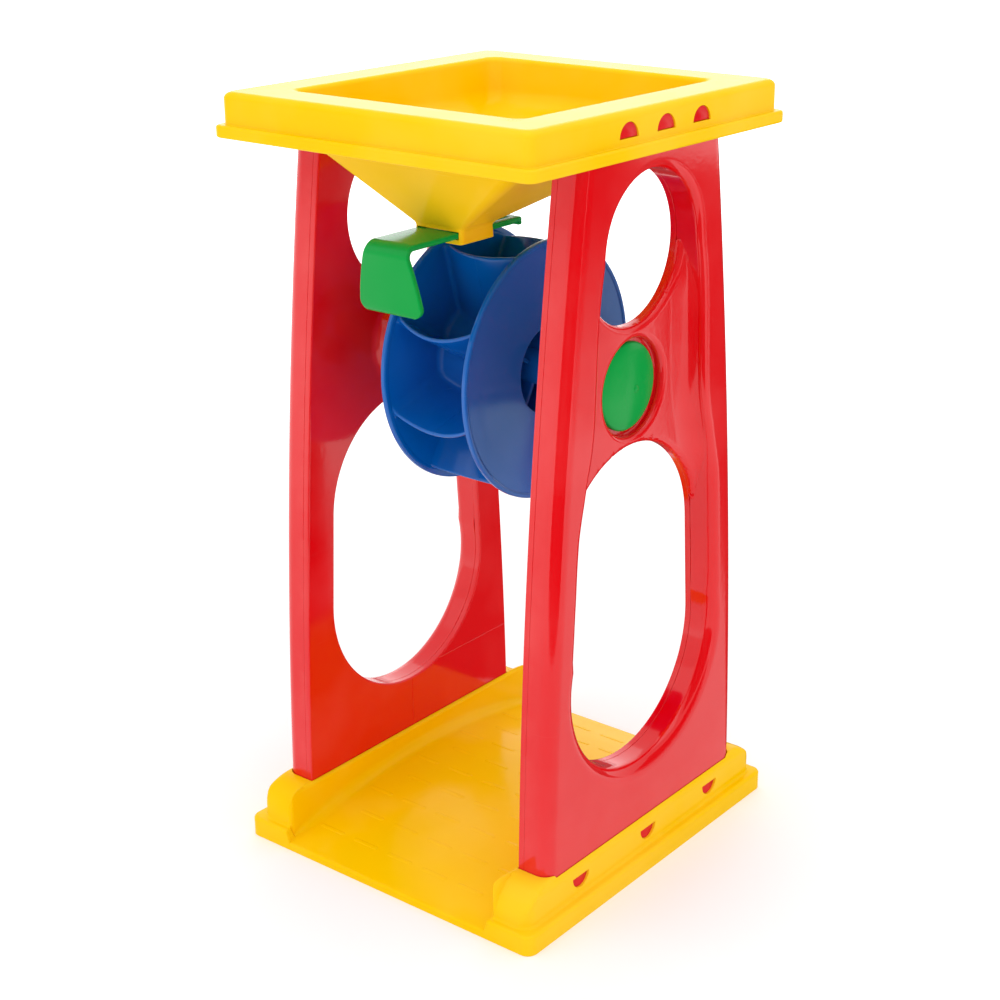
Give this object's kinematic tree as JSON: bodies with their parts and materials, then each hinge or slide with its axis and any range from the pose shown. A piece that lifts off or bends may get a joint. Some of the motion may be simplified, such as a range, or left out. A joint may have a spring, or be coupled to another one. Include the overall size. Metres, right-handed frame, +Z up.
{
  "type": "sand wheel toy",
  "caption": "Upright sand and water mill toy: square hopper with a sliding gate pours sand onto a paddle wheel turning on an axle between two pierced frames on a tray base.",
  "frame": {"origin": "centre of the base underside, on the ground", "axes": "+X along the axle towards the right frame, -Y towards the front where the gate handle is, +Z up"},
  "size_m": [0.1846, 0.204, 0.38],
  "materials": {
    "base_yellow": "glossy moulded plastic, warm yellow",
    "hopper_yellow": "glossy moulded plastic, bright yellow",
    "frame_red": "glossy moulded plastic, red",
    "gate_green": "glossy moulded plastic, green",
    "wheel_blue": "glossy moulded plastic, blue"
  },
  "bodies": {
    "stand": {"base": "base_yellow", "left_frame_shell": "frame_red", "left_frame_cover": "frame_red", "right_frame_shell": "frame_red", "right_frame_cover": "frame_red", "hopper": "hopper_yellow", "axle": "gate_green", "left_axle_cap": "gate_green", "right_axle_cap": "gate_green"},
    "wheel": {"wheel_left_half": "wheel_blue", "wheel_right_half": "wheel_blue"},
    "gate": {"slide_gate": "gate_green"}
  },
  "joints": [
    {"name": "wheel_spin", "type": "hinge", "parent": "stand", "child": "wheel", "pos_m": [0, 0, 0.2483], "axis": [1, 0, 0], "continuous": true},
    {"name": "gate_slide", "type": "slide", "parent": "stand", "child": "gate", "axis": [0, -1, 0], "range_m": [-0.03, 0.02]}
  ]
}
